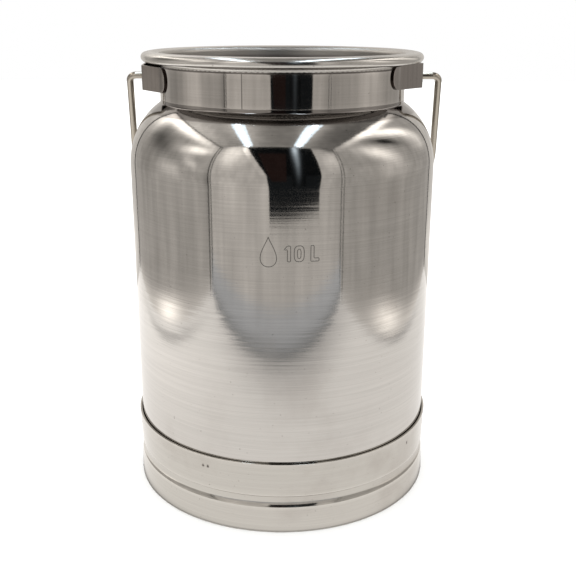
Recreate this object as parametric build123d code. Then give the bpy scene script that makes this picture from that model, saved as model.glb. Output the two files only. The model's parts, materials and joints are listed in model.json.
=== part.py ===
from build123d import *
from math import asin, cos, degrees, radians, sin, sqrt, tan
import os

# Stainless milk can of about 10 litres, open at the top, with a wire bail.
# Millimetres, +Z up. The origin is the centre of the circle the foot ring
# stands on. +X points to the right ear, and the bail hangs to +Y, the back.

# Sheet and body
sheet = 1.0                  # wall of every spun or rolled part
body_radius = 112.0          # outside of the wall
shoulder_radius = 53.0       # arc that closes the wall in towards the neck
shoulder_start_z = 246.6     # height where that arc leaves the wall
crease_fillet = 1.6          # small hollow between shoulder and neck
shoulder_edge_height = 1.6   # short upturned edge above that hollow

# Bottom pan, welded to the wall behind the foot ring
pan_bottom_z = 25.0
pan_corner_radius = 8.0
pan_rim_z = 42.0
pan_dome = 3.0               # rise of the middle of the pan

# Neck and rim
neck_radius = 88.6           # outside of the collar
collar_top_z = 315.0
rim_bottom_z = 318.8
rim_top_z = 326.0
rim_outer_radius = 101.3
rim_roll_radius = 3.3        # both rolled edges of the rim
rim_curl_end_radius = 92.4   # where the curled edge stops short of the neck
rim_bead = 2.8               # radius of the hollow weld bead under the rim

# Foot ring
foot_height = 53.7
foot_top_radius = 114.1      # the ring flares away from the wall at its top
foot_waist_radius = 113.0    # just above the groove, where it meets the wall
foot_lower_radius = 113.2    # just below the groove
foot_bottom_radius = 114.4
groove_top_z = 28.2
groove_bottom_z = 19.6
groove_floor_radius = 111.8
hem_height = 6.0             # folded edge that the can stands on
hem_corner = 0.7
spot_weld_count = 18
spot_weld_radius = 2.5
spot_weld_z = 45.0
spot_weld_start_deg = -15.0

# Ears, bent from strip and spot-welded to the collar
strap = 1.5
ear_face_x = 100.5           # outside of the flat face
ear_face_half_width = 13.0
ear_bend_radius = 3.0        # outside of every bend
ear_height = 17.2
ear_corner_radius = 8.0
ear_short_bend_deg = 18.0    # where one flange starts, round the neck from X
ear_short_end_deg = 25.5
ear_long_bend_deg = 26.0     # the other flange sits further round
ear_long_end_deg = 33.5
ear_rim_gap = 0.15           # flanges are trimmed to clear the weld bead
left_ear_z = 308.3
right_ear_z = 309.2
left_ear_tilt_deg = 3.0      # each ear was welded on slightly askew
right_ear_tilt_deg = -1.5

# Bail
pivot_z = 308.5
wire_radius = 2.5
pivot_clearance = 0.2        # loose punched hole
bail_tip_x = 95.0            # the wire ends inside the ears
bail_bend_radius = 5.0
bail_leg_x = 112.4           # leg line where it crosses the pivot axis
bail_splay_deg = 4.54        # each leg leans outwards
bail_arch_start = 82.4       # arch centre, measured down the bail
bail_rest_gap = 0.5          # the arch stops just clear of the wall
bail_shift_x = 1.46          # side play, taken up to the right

# Worked out from the above
neck_inner = neck_radius - sheet
shoulder_centre_r = body_radius - shoulder_radius
crease_r = neck_radius + crease_fillet
crease_reach = shoulder_radius + crease_fillet
crease_z = shoulder_start_z + sqrt(crease_reach ** 2 - (crease_r - shoulder_centre_r) ** 2)
shell_top_z = crease_z + shoulder_edge_height
splay = radians(bail_splay_deg)
arch_radius = (bail_leg_x + bail_arch_start * tan(splay)) * cos(splay)
leg_length = bail_arch_start - arch_radius * sin(splay)
bail_length = bail_arch_start + arch_radius
bail_rest_angle = asin((body_radius + bail_rest_gap + wire_radius) / bail_length)

os.makedirs("parts", exist_ok=True)


def turned(profile):
    """Turn a flat profile drawn as (radius, height) about Z."""
    return revolve(Plane.XZ * profile, Axis.Z)


def sheet_profile(outline):
    """Section of a sheet whose seen face follows the open outline."""
    wire = Wire(outline.edges())
    return make_face(wire.offset_2d(sheet, kind=Kind.INTERSECTION, side=Side.LEFT, closed=True))


def body_shell():
    """Wall, spun shoulder and the short upturned edge under the collar."""
    touch = shoulder_radius / crease_reach
    shoulder_end = (
        shoulder_centre_r + (crease_r - shoulder_centre_r) * touch,
        shoulder_start_z + (crease_z - shoulder_start_z) * touch,
    )
    wall = Line((body_radius, pan_rim_z), (body_radius, shoulder_start_z))
    shoulder = RadiusArc((body_radius, shoulder_start_z), shoulder_end, -shoulder_radius)
    crease = RadiusArc(shoulder_end, (neck_radius, crease_z), crease_fillet)
    lip = Line((neck_radius, crease_z), (neck_radius, shell_top_z))
    return turned(sheet_profile(wall + shoulder + crease + lip))


def bottom_pan():
    """Pressed bottom, slightly domed, with a rounded corner and upturned rim."""
    corner_r = body_radius - pan_corner_radius
    corner_z = pan_bottom_z + pan_corner_radius

    def face_line(lift):
        # A shallow dome stands at three quarters of its rise halfway out.
        centre = (0, pan_bottom_z + pan_dome + lift)
        halfway = (corner_r / 2, pan_bottom_z + 0.75 * pan_dome + lift)
        return [
            ThreePointArc(centre, halfway, (corner_r, pan_bottom_z + lift)),
            RadiusArc((corner_r, pan_bottom_z + lift), (body_radius - lift, corner_z),
                      lift - pan_corner_radius),
            Line((body_radius - lift, corner_z), (body_radius - lift, pan_rim_z)),
        ]

    ends = [
        Line((body_radius - sheet, pan_rim_z), (body_radius, pan_rim_z)),
        Line((0, pan_bottom_z + pan_dome), (0, pan_bottom_z + pan_dome + sheet)),
    ]
    return turned(make_face(Wire(face_line(0) + face_line(sheet) + ends)))


def neck_collar():
    """Rolled strip between the shoulder and the rim."""
    width = collar_top_z - shell_top_z
    strip = Pos(neck_radius - sheet / 2, shell_top_z + width / 2) * Rectangle(sheet, width)
    return turned(strip)


def rim_arcs():
    """Half the span between the two rolled edges' centres, and the crown radius."""
    height = rim_top_z - rim_bottom_z
    half_flat = (rim_outer_radius - neck_inner - 2 * rim_roll_radius) / 2
    crown = (half_flat ** 2 + (height - rim_roll_radius) ** 2 - rim_roll_radius ** 2) \
        / (2 * (height - 2 * rim_roll_radius))
    return half_flat, crown


def mouth_rim():
    """Sheet ring: up inside the mouth, over the crown, round and back under."""
    half_flat, crown = rim_arcs()
    roll_z = rim_bottom_z + rim_roll_radius
    inner_c = neck_inner + rim_roll_radius
    outer_c = rim_outer_radius - rim_roll_radius
    middle = (inner_c + outer_c) / 2
    lean = half_flat / (crown - rim_roll_radius)
    rise = sqrt(1 - lean ** 2)
    inner_touch = (middle - crown * lean, rim_top_z - crown + crown * rise)
    outer_touch = (middle + crown * lean, rim_top_z - crown + crown * rise)
    outline = (
        Line((neck_inner, collar_top_z), (neck_inner, roll_z))
        + RadiusArc((neck_inner, roll_z), inner_touch, rim_roll_radius)
        + RadiusArc(inner_touch, outer_touch, crown)
        + RadiusArc(outer_touch, (rim_outer_radius, roll_z), rim_roll_radius)
        + RadiusArc((rim_outer_radius, roll_z), (outer_c, rim_bottom_z), rim_roll_radius)
        + Line((outer_c, rim_bottom_z), (rim_curl_end_radius, rim_bottom_z))
    )
    curl = sheet_profile(outline)
    bead_r = neck_radius + rim_bead
    bead_z = rim_bottom_z - rim_bead
    bead_root = neck_radius - sheet / 2
    bead = make_face(Wire([
        Line((bead_root, bead_z), (neck_radius, bead_z)),
        RadiusArc((neck_radius, bead_z), (bead_r, rim_bottom_z), rim_bead),
        Line((bead_r, rim_bottom_z), (bead_r - sheet, rim_bottom_z + sheet)),
        Line((bead_r - sheet, rim_bottom_z + sheet), (bead_root, rim_bottom_z + sheet)),
        Line((bead_root, rim_bottom_z + sheet), (bead_root, bead_z)),
    ]))
    return turned(curl) + turned(bead)


def foot_ring():
    """Flared band with a pressed groove, a folded bottom edge and spot welds."""
    groove_z = (groove_top_z + groove_bottom_z) / 2

    def band_line(inset):
        waist = (foot_waist_radius - inset, groove_top_z)
        groove_floor = (groove_floor_radius - inset, groove_z)
        below = (foot_lower_radius - inset, groove_bottom_z)
        return [
            Line((foot_top_radius - inset, foot_height), waist),
            ThreePointArc(waist, groove_floor, below),
        ]

    hem_inner = foot_bottom_radius - 2 * sheet
    skirt_slope = (foot_bottom_radius - foot_lower_radius) / (groove_bottom_z - hem_corner)
    hem_top = (foot_lower_radius - sheet + skirt_slope * (groove_bottom_z - hem_height), hem_height)
    hem_edge = (foot_bottom_radius - hem_corner, 0)
    section = band_line(0) + [
        Line((foot_lower_radius, groove_bottom_z), (foot_bottom_radius, hem_corner)),
        RadiusArc((foot_bottom_radius, hem_corner), hem_edge, hem_corner),
        Line(hem_edge, (hem_inner, 0)),
        Line((hem_inner, 0), (hem_inner, hem_height)),
        Line((hem_inner, hem_height), hem_top),
        Line(hem_top, (foot_lower_radius - sheet, groove_bottom_z)),
        Line((foot_top_radius - sheet, foot_height), (foot_top_radius, foot_height)),
    ] + band_line(sheet)
    ring = turned(make_face(Wire(section)))

    # Each nugget fills the gap between the flared band and the wall.
    flare_slope = (foot_top_radius - foot_waist_radius) / (foot_height - groove_top_z)
    nugget_end = foot_waist_radius + flare_slope * (spot_weld_z - groove_top_z) - sheet / 2
    nugget_start = body_radius - sheet
    blank = Cylinder(spot_weld_radius, nugget_end - nugget_start,
                     align=(Align.CENTER, Align.CENTER, Align.MIN))
    wall = Cylinder(body_radius, foot_height, align=(Align.CENTER, Align.CENTER, Align.MIN))
    nuggets = [
        Rot(0, 0, spot_weld_start_deg + i * 360 / spot_weld_count)
        * Pos(nugget_start, 0, spot_weld_z) * Rot(0, 90, 0) * blank
        for i in range(spot_weld_count)
    ]
    return ring + [nugget - wall for nugget in nuggets]


def ear(side, front_bend, front_end, back_bend, back_end, centre_z, tilt):
    """One bent strip: a flat face away from the neck and a flange each way."""
    outer_r = neck_radius + strap
    front = (outer_r * cos(radians(front_bend)), -outer_r * sin(radians(front_bend)))
    back = (outer_r * cos(radians(back_bend)), outer_r * sin(radians(back_bend)))
    raised = make_face(Polyline(
        (0, 0), front, (ear_face_x, -ear_face_half_width), (ear_face_x, ear_face_half_width), back,
        close=True,
    ))
    plan = Circle(outer_r) + raised
    bends = [v for v in plan.vertices() if v.X > outer_r / 2]
    plan = fillet(bends, ear_bend_radius)
    hollow = offset(plan, -strap)
    band = Pos(0, 0, centre_z) * extrude(plan - hollow, ear_height, both=True)
    y_front = -outer_r * sin(radians(front_end))
    y_back = outer_r * sin(radians(back_end))
    blank = RectangleRounded(y_back - y_front, ear_height, ear_corner_radius)
    cutter = extrude(Plane.YZ * Pos((y_back + y_front) / 2, 0) * blank, 2 * outer_r)
    strip = band & Pos(0, 0, centre_z) * Rot(tilt, 0, 0) * cutter
    bead_z = rim_bottom_z - rim_bead - ear_rim_gap
    bead_r = neck_radius + rim_bead + ear_rim_gap
    relief = turned(make_face(Polyline(
        (neck_inner, bead_z), (neck_radius, bead_z), (bead_r, rim_bottom_z),
        (bead_r, rim_top_z), (neck_inner, rim_top_z), close=True,
    )))
    hole = Pos(ear_face_x, 0, pivot_z) * Rot(0, 90, 0) \
        * Cylinder(wire_radius + pivot_clearance, 4 * strap)
    result = strip - relief - hole
    return result if side > 0 else mirror(result, Plane.YZ)


def bail_handle():
    """One wire: an end in each ear, two splayed legs and a round arch."""
    down = Vector(0, sin(bail_rest_angle), -cos(bail_rest_angle))
    plane = Plane(origin=(bail_shift_x, 0, pivot_z), x_dir=(1, 0, 0),
                  z_dir=Vector(1, 0, 0).cross(down * -1))
    leg_x = arch_radius * cos(splay)
    right = FilletPolyline((bail_tip_x, 0), (bail_leg_x, 0), (leg_x, -leg_length),
                           radius=bail_bend_radius)
    arch = ThreePointArc((leg_x, -leg_length), (0, -bail_length), (-leg_x, -leg_length))
    left = FilletPolyline((-leg_x, -leg_length), (-bail_leg_x, 0), (-bail_tip_x, 0),
                          radius=bail_bend_radius)
    path = plane * Wire(right.edges() + arch.edges() + left.edges())
    section = Plane(origin=path @ 0, z_dir=path % 0) * Circle(wire_radius)
    return sweep(section, path)


parts = {
    "body_shell": body_shell(),
    "bottom_pan": bottom_pan(),
    "neck_collar": neck_collar(),
    "mouth_rim": mouth_rim(),
    "foot_ring": foot_ring(),
    "left_ear": ear(-1, ear_short_bend_deg, ear_short_end_deg, ear_long_bend_deg,
                    ear_long_end_deg, left_ear_z, left_ear_tilt_deg),
    "right_ear": ear(1, ear_long_bend_deg, ear_long_end_deg, ear_short_bend_deg,
                     ear_short_end_deg, right_ear_z, right_ear_tilt_deg),
    "bail_handle": bail_handle(),
}

for name, shape in parts.items():
    export_step(shape, f"parts/{name}.step")

print("bail length", round(bail_length, 2), "rest angle", round(degrees(bail_rest_angle), 2))
print("shell top", round(shell_top_z, 3), "crease", round(crease_z, 3))
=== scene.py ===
"""Stainless milk can with a wire bail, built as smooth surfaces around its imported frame.

Metres, +Z up; +X is the right ear, +Y the back, where the bail hangs.
"""

import json
import math

import bpy
import numpy as np
from bpy.props import FloatProperty, FloatVectorProperty, IntProperty, PointerProperty
from bpy.types import Operator, Panel, PropertyGroup
from mathutils import Matrix, Vector


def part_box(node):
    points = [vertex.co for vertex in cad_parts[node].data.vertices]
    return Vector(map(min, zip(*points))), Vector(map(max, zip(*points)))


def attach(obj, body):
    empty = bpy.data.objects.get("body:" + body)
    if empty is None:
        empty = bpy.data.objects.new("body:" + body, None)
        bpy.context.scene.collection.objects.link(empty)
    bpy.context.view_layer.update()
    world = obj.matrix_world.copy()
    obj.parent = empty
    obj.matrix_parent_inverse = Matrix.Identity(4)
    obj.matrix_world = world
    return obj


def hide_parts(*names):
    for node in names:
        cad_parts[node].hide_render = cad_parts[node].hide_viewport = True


bl_info = {
    "name": "Milk Can",
    "version": (1, 0, 0),
    "blender": (4, 5, 0),
    "location": "3D View > Sidebar > Milk Can",
    "description": "Builds a stainless milk can with a wire bail, in a light tent",
    "category": "Add Mesh",
}

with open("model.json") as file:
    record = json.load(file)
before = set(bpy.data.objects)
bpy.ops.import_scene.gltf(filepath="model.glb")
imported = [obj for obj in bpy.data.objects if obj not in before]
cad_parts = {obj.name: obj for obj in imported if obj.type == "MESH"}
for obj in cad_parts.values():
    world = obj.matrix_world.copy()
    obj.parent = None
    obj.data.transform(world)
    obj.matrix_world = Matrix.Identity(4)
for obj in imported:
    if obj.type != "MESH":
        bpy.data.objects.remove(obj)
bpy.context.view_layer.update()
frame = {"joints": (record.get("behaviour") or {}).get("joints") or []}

SHELL_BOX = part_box("body_shell")
RIM_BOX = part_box("mouth_rim")
COLLAR_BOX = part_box("neck_collar")
FOOT_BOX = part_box("foot_ring")
PAN_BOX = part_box("bottom_pan")
RIGHT_EAR_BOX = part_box("right_ear")

FULL_TURN = 2 * math.pi
QUARTER_TURN = math.pi / 2
FINE_ROW = 0.0003       # rows this close to a corner keep the shading of long faces true
TINY_CORNER = 0.00004   # where two sheets are ground flush
EDGE_STEPS = 4          # points on a quarter circle round a cut edge
MARK_STEP = 0.0006      # between points of an etched line
OPEN_CARD_ROWS = 90     # rows and columns of a card that has bright or dark spots


# ---------------------------------------------------------------- settings


def length(name, description, default):
    """A size in metres that a user can change."""
    return FloatProperty(name=name, description=description, default=default,
                         precision=5, unit="LENGTH", subtype="DISTANCE")


def angle(name, description, degrees):
    """An angle that a user can change."""
    return FloatProperty(name=name, description=description, default=math.radians(degrees),
                         unit="ROTATION", subtype="ANGLE")


def tone(name, description, colour):
    """A colour that a user can change."""
    return FloatVectorProperty(name=name, description=description, default=colour,
                               size=3, min=0.0, soft_max=1.0, subtype="COLOR")


def share(name, description, default):
    """A number from 0 to 1 that a user can change."""
    return FloatProperty(name=name, description=description, default=default,
                         min=0.0, max=1.0, subtype="FACTOR")


def glow(name, description, default):
    """A brightness that a user can change."""
    return FloatProperty(name=name, description=description, default=default, min=0.0)


class ShellSizes(PropertyGroup):
    """Wall, shoulder and bottom of the can."""

    sheet: length("Sheet", "Thickness of every sheet", 0.001)
    wall_radius: length("Wall Radius", "Outside of the wall", SHELL_BOX[1].x)
    wall_bottom: length("Wall Bottom", "Height where the wall meets the pan", SHELL_BOX[0].z)
    shoulder_radius: length("Shoulder Radius", "Arc from the wall to the neck", 0.053)
    shoulder_start: length("Shoulder Start", "Height where the shoulder begins", 0.2466)
    crease_radius: length("Crease Radius", "Hollow between shoulder and neck", 0.0016)
    shell_top: length("Shell Top", "Height of the upturned edge", SHELL_BOX[1].z)
    # Out to this radius the shoulder is darkened: partly weld tint, partly painted shade under
    # the rim.
    tinted_and_shaded: length("Browned", "Outer radius of the heat tint round the neck", 0.0968)
    pan_bottom: length("Pan Bottom", "Height of the pan's lowest ring", PAN_BOX[0].z)
    pan_corner: length("Pan Corner", "Outside radius of the pan's corner", 0.008)
    pan_dome: length("Pan Dome", "Rise of the middle of the pan", 0.003)
    segments: IntProperty(name="Segments", description="Faces round every turned piece",
                          default=360, min=64, max=720)


class NeckSizes(PropertyGroup):
    """Collar and rolled rim."""

    radius: length("Neck Radius", "Outside of the collar", COLLAR_BOX[1].x)
    collar_top: length("Collar Top", "Height where the collar meets the rim", COLLAR_BOX[1].z)
    rim_radius: length("Rim Radius", "Outside of the rim", RIM_BOX[1].x)
    rim_top: length("Rim Top", "Height of the crown of the rim", RIM_BOX[1].z)
    rim_underside: length("Rim Underside", "Height of the rim's lower face", 0.3188)
    roll_radius: length("Roll Radius", "Both rolled edges of the rim", 0.0033)
    curl_end: length("Curl End", "Radius where the curled edge stops", 0.0924)
    weld_radius: length("Weld Radius", "Hollow of the weld under the rim", 0.0028)
    weld_ripples: IntProperty(name="Weld Ripples", description="Ripples round the weld",
                              default=150, min=0)
    ripple_depth: length("Ripple Depth", "Depth of the weld's ripples", 0.00006)
    seam_angle: angle("Seam Angle", "Collar seam, round from the front to the left", 17.0)
    seam_width: length("Seam Width", "Half width of the collar seam's groove", 0.00028)
    seam_depth: length("Seam Depth", "Depth of the collar seam's groove", 0.00012)


class FootSizes(PropertyGroup):
    """Flared band with its groove and folded edge."""

    height: length("Foot Height", "Top of the band", FOOT_BOX[1].z)
    top_radius: length("Top Radius", "Outside of the band at its top", 0.1141)
    waist_radius: length("Waist Radius", "Outside of the band just above the groove", 0.1130)
    groove_top: length("Groove Top", "Height of the groove's upper edge", 0.0282)
    groove_floor: length("Groove Floor", "Radius at the bottom of the groove", 0.1113)
    groove_middle: length("Groove Middle", "Height of the groove's deepest line", 0.0266)
    groove_bottom: length("Groove Bottom", "Height of the groove's lower edge", 0.0196)
    lower_radius: length("Lower Radius", "Outside of the band just below the groove", 0.1132)
    bottom_radius: length("Bottom Radius", "Outside of the folded edge", FOOT_BOX[1].x)
    lip: length("Lip", "Thickness of the band's rolled top edge", 0.00155)
    hem_height: length("Hem Height", "Height of the folded edge", 0.006)
    hem_corner: length("Hem Corner", "Rounding of the folded edge", 0.0007)
    pit_height: length("Pit Height", "Height of the spot-weld pits", 0.0452)
    pit_radius: length("Pit Radius", "Size of a spot-weld pit", 0.0007)
    pit_depth: length("Pit Depth", "Depth of a spot-weld pit", 0.0004)


class EarSizes(PropertyGroup):
    """Bent strap ears."""

    strap: length("Strap", "Thickness of the ears' strip", 0.0015)
    face_distance: length("Face Distance", "From the can's axis to the flat face",
                          RIGHT_EAR_BOX[1].x)
    face_half_width: length("Face Half Width", "Half the flat face, corner to corner", 0.013)
    bend_radius: length("Bend Radius", "Outside of every bend", 0.003)
    height: length("Ear Height", "Width of the strip", 0.0172)
    corner: length("Ear Corner", "Rounded corners of the strip", 0.008)
    short_bend: angle("Short Bend", "Where the near flange starts, round from the ear", 18.0)
    short_end: angle("Short End", "Where the near flange ends", 25.5)
    long_bend: angle("Long Bend", "Where the far flange starts", 26.0)
    long_end: angle("Long End", "Where the far flange ends", 33.5)
    left_height: length("Left Ear Height", "Middle of the left ear", 0.3083)
    right_height: length("Right Ear Height", "Middle of the right ear", 0.3092)
    left_tilt: angle("Left Ear Tilt", "The left ear sits slightly askew", 3.0)
    right_tilt: angle("Right Ear Tilt", "The right ear sits slightly askew", -1.5)
    weld_gap: length("Weld Gap", "The flanges are trimmed this clear of the rim weld", 0.00015)
    edge: length("Ear Edge", "Softened edge of the strip", 0.0003)


class BailSizes(PropertyGroup):
    """Wire bail."""

    pivot_height: length("Pivot Height", "Height of the pivot", frame["joints"][0]["pos_m"][2])
    wire_radius: length("Wire Radius", "Half the wire's thickness", 0.00249)
    hole_gap: length("Hole Gap", "Play of the wire in the ears", 0.0002)
    tip: length("Tip", "Where the wire ends, inside the ears", 0.095)
    bend_radius: length("Bail Bend", "Bend from tip to leg", 0.005)
    leg_distance: length("Leg Distance", "Leg line where it crosses the pivot", 0.1124)
    splay: angle("Splay", "Each leg leans outwards", 4.54)
    arch_drop: length("Arch Drop", "Arch centre, measured down the bail", 0.0824)
    rest_angle: angle("Rest Angle", "Swing of the hanging bail towards the back", 34.91)
    side_shift: length("Side Shift", "Side play, taken up to the right", 0.00146)


class MarkSizes(PropertyGroup):
    """Etched capacity mark on the wall."""

    centre_x: length("Mark X", "Middle of the mark, across", 0.008)
    centre_height: length("Mark Height", "Middle of the mark, up", 0.2045)
    line_width: length("Line Width", "Width of an etched line", 0.00055)
    proud: length("Proud", "How far the etched lines stand out", 0.00001)
    rooted: length("Rooted", "How far the etched lines reach into the wall", 0.0002)
    letter_height: length("Letter Height", "Height of the capacity figures", 0.0105)


class SteelLooks(PropertyGroup):
    """Colours and gloss of the steel."""

    wall: tone("Wall", "Brushed wall and shoulder", (0.585, 0.565, 0.54))
    pan: tone("Pan", "Bottom pan", (0.52, 0.50, 0.47))
    collar: tone("Collar", "Brushed collar", (0.50, 0.475, 0.45))
    rim: tone("Rim", "Polished rim", (0.60, 0.58, 0.55))
    foot: tone("Foot", "Satin foot band", (0.545, 0.525, 0.49))
    ear: tone("Ear", "Satin ear strip", (0.33, 0.30, 0.28))
    wire: tone("Wire", "Drawn bail wire", (0.42, 0.385, 0.33))
    mark: tone("Mark", "Etched lines", (0.20, 0.19, 0.18))
    smudge: tone("Smudge", "Handling smudges", (0.40, 0.37, 0.34))
    # Dark colour for weld burns and specks, and for the painted shade on the shoulder, the rim's
    # underside and the ears' cut edges.
    heat_and_shade: tone("Heat Tint", "Burnt spots at the welds", (0.05, 0.035, 0.03))
    # Strength of the darkening round the neck: partly weld tint, partly painted shade and painted
    # reflection of shade under the rim.
    shoulder_tint_and_shade: share("Shoulder Heat", "Browning of the shoulder round the neck", 0.62)
    # Darkening of the rim's underside: partly weld tint, partly painted shade.
    rim_tint_and_shade: share("Rim Heat", "Browning of the rim's underside", 0.72)
    seam_heat: share("Seam Heat", "Browning along the collar's seam", 0.25)
    # Darkening of the flanges' cut edges: painted shadow of the gap between the flanges and the
    # neck.
    cut_edge_shade: share("Cut Heat", "Browning of the flanges' cut edges", 0.95)


class StageSettings(PropertyGroup):
    """Floor, light tent and camera."""

    side: length("Tent Side", "Side walls, from the middle", 0.48)
    front: length("Tent Front", "Front panel, from the middle", 0.49)
    back: length("Tent Back", "Back wall, from the middle", 0.45)
    ceiling: length("Tent Ceiling", "Height of the tent", 0.72)
    floor_size: length("Floor Size", "Side of the floor", 8.0)
    backdrop: glow("Backdrop", "Brightness of the backdrop", 1.0)
    soft_light: glow("Soft Light", "Brightness of the light on the floor", 1.75)
    camera_distance: length("Camera Distance", "In front of the can's axis", 0.65364)
    camera_height: length("Camera Height", "Above the floor", 0.35377)
    camera_pitch: FloatProperty(name="Camera Pitch", description="Downward tilt",
                                default=0.3077, unit="ROTATION", subtype="ANGLE")
    camera_yaw: FloatProperty(name="Camera Yaw", description="Turn to the right",
                              default=0.0069, unit="ROTATION", subtype="ANGLE")
    camera_roll: FloatProperty(name="Camera Roll", description="Roll of the camera",
                               default=0.0028, unit="ROTATION", subtype="ANGLE")
    lens: FloatProperty(name="Lens", description="Focal length in millimetres on a 36 mm sensor",
                        default=54.66, min=1.0)


class MilkCanSettings(PropertyGroup):
    """Everything about the can and its stage."""

    shell: PointerProperty(type=ShellSizes)
    neck: PointerProperty(type=NeckSizes)
    foot: PointerProperty(type=FootSizes)
    ears: PointerProperty(type=EarSizes)
    bail: PointerProperty(type=BailSizes)
    mark: PointerProperty(type=MarkSizes)
    steel: PointerProperty(type=SteelLooks)
    stage: PointerProperty(type=StageSettings)


# ---------------------------------------------------------------- outlines


def stretch(start, end, step=0.003):
    """Points on a straight line from start to end, closer together near both ends."""
    start, end = np.array(start, float), np.array(end, float)
    size = np.linalg.norm(end - start)
    close = min(0.3, FINE_ROW / size)
    even = np.linspace(0, 1, max(2, math.ceil(size / step) + 1))
    even = even[(even == 0) | (even == 1) | ((even > 2 * close) & (even < 1 - 2 * close))]
    shares = np.sort(np.concatenate([even, [close, 1 - close]]))
    return start + shares[:, None] * (end - start)


def bend(centre, radius, start, end, step=4.0):
    """Points on an arc: centre plus radius times (cos, sin) from start to end degrees."""
    count = max(3, math.ceil(abs(end - start) / step) + 1)
    turn = np.radians(np.linspace(start, end, count))
    return np.array(centre) + radius * np.column_stack([np.cos(turn), np.sin(turn)])


def chain(*parts):
    """One outline from parts that meet end to end, with doubled points dropped."""
    points = np.vstack(parts)
    steps = np.linalg.norm(np.diff(points, axis=0), axis=1)
    return points[np.concatenate([[True], steps > 1e-8])]


def left_of(points):
    """Unit normals to the left of an open outline, from the step across each point."""
    along = np.gradient(points, axis=0)
    along /= np.linalg.norm(along, axis=1)[:, None]
    return np.column_stack([-along[:, 1], along[:, 0]])


def sheet_loop(outline, thickness, corner):
    """Closed section of a sheet: out along the outline and back along its left offset.

    Each cut end is flat with two rounded corners, quarter circles of the given radius.
    """
    normal = left_of(outline)
    ends = []
    for point, side, forward in (
        (outline[-1], normal[-1], outline[-1] - outline[-2]),
        (outline[0], normal[0], outline[0] - outline[1]),
    ):
        forward = forward / np.linalg.norm(forward)
        turn = np.radians(np.linspace(0, 90, EDGE_STEPS))[:, None]
        near = point + corner * (side * (1 - np.cos(turn)) - forward * (1 - np.sin(turn)))
        far = point + side * thickness + corner * (
            -side * (1 - np.sin(turn)) - forward * (1 - np.cos(turn)))
        ends.append(np.vstack([near, far]))
    far_end, near_end = ends
    trimmed = outline[1:-1]
    inner = (outline + normal * thickness)[1:-1][::-1]
    return chain(trimmed, far_end, inner, near_end[::-1])


def run_along(loop):
    """Length along a closed loop at each of its points."""
    steps = np.linalg.norm(np.diff(loop, axis=0), axis=1)
    return np.concatenate([[0.0], np.cumsum(steps)])


def near_points(loop, spots, reach=0.0009):
    """1 on the given spots of a section, fading with distance as exp(-d / reach)."""
    gap = np.min(np.linalg.norm(loop[:, None] - np.array(spots)[None], axis=2), axis=1)
    return np.exp(-gap / reach)


def facing_axis(loop):
    """1 where a closed section faces the axis and 0 where it faces away from it.

    The outward normal is the step across each point, turned by the loop's winding.
    """
    ahead, behind = np.roll(loop, -1, axis=0), np.roll(loop, 1, axis=0)
    winding = np.sign(np.sum(loop[:, 0] * ahead[:, 1] - ahead[:, 0] * loop[:, 1]))
    across = ahead - behind
    size = np.linalg.norm(across, axis=1)
    outward = winding * across[:, 1] / np.where(size > 0, size, 1)
    return np.clip(-2 * outward - 0.8, 0, 1)


# ---------------------------------------------------------------- meshes


def wrapped(count):
    """Each index and the next one round a ring."""
    here = np.arange(count)
    return here, (here + 1) % count


def grid_volume(grid):
    """Signed volume inside a grid that closes on itself both ways."""
    ahead = np.roll(grid, -1, axis=1)
    up = np.roll(grid, -1, axis=0)
    both = np.roll(ahead, -1, axis=0)
    first = np.einsum("ijk,ijk->", grid, np.cross(ahead, both))
    second = np.einsum("ijk,ijk->", grid, np.cross(both, up))
    return (first + second) / 6


def grid_solid(name, grid, poles=False, uv=None, **fields):
    """Closed mesh over a grid of points, rows by columns.

    Columns meet end to end. Rows meet too, or with poles the first and last rows are
    single points. The faces are turned outwards by the sign of the volume inside.
    Fields are one number per grid point, kept as attributes; the UV map is the share of
    the columns and rows passed, unless uv gives two numbers per grid point.
    """
    if grid_volume(grid) < 0:
        grid = grid[:, ::-1]
        uv = None if uv is None else uv[:, ::-1]
        fields = {key: value[:, ::-1] for key, value in fields.items()}
    rows, columns = grid.shape[:2]
    here, ahead = wrapped(columns)
    if poles:
        number = np.arange(rows * columns).reshape(rows, columns) - (columns - 1)
        number[0] = 0
        number[-1] = number[-2, -1] + 1
        keep = np.ones((rows, columns), bool)
        keep[[0, -1], 1:] = False
        low, high = np.arange(rows - 1), np.arange(1, rows)
    else:
        number = np.arange(rows * columns).reshape(rows, columns)
        keep = np.ones((rows, columns), bool)
        low, high = wrapped(rows)
    quads = np.stack([number[low][:, here], number[low][:, ahead],
                      number[high][:, ahead], number[high][:, here]], axis=-1)
    if uv is None:
        across = np.stack([here, here + 1, here + 1, here]) / columns
        upward = np.stack([low, low, low + 1, low + 1]) / rows
        corners = np.empty(quads.shape + (2,))
        corners[..., 0] = across.T[None]
        corners[..., 1] = upward.T[:, None]
    else:
        corners = np.stack([uv[low][:, here], uv[low][:, ahead],
                            uv[high][:, ahead], uv[high][:, here]], axis=2)
    quads = quads.reshape(-1, 4)
    corners = corners.reshape(-1, 4, 2)
    real = np.column_stack([quads[:, k] != quads[:, k - 1] for k in range(4)])
    faces = [quad[ok].tolist() for quad, ok in zip(quads, real)] if poles else quads.tolist()
    mesh = bpy.data.meshes.new(name)
    mesh.from_pydata(grid[keep].tolist(), [], faces)
    mesh.polygons.foreach_set("use_smooth", np.ones(len(mesh.polygons), bool))
    layer = mesh.uv_layers.new(name="surface")
    layer.data.foreach_set("uv", corners[real].astype(np.float32).ravel())
    for key, value in fields.items():
        attribute = mesh.attributes.new(key, "FLOAT", "POINT")
        attribute.data.foreach_set("value", value[keep].astype(np.float32))
    mesh.update()
    piece = bpy.data.objects.new(name, mesh)
    bpy.context.scene.collection.objects.link(piece)
    return piece


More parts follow.
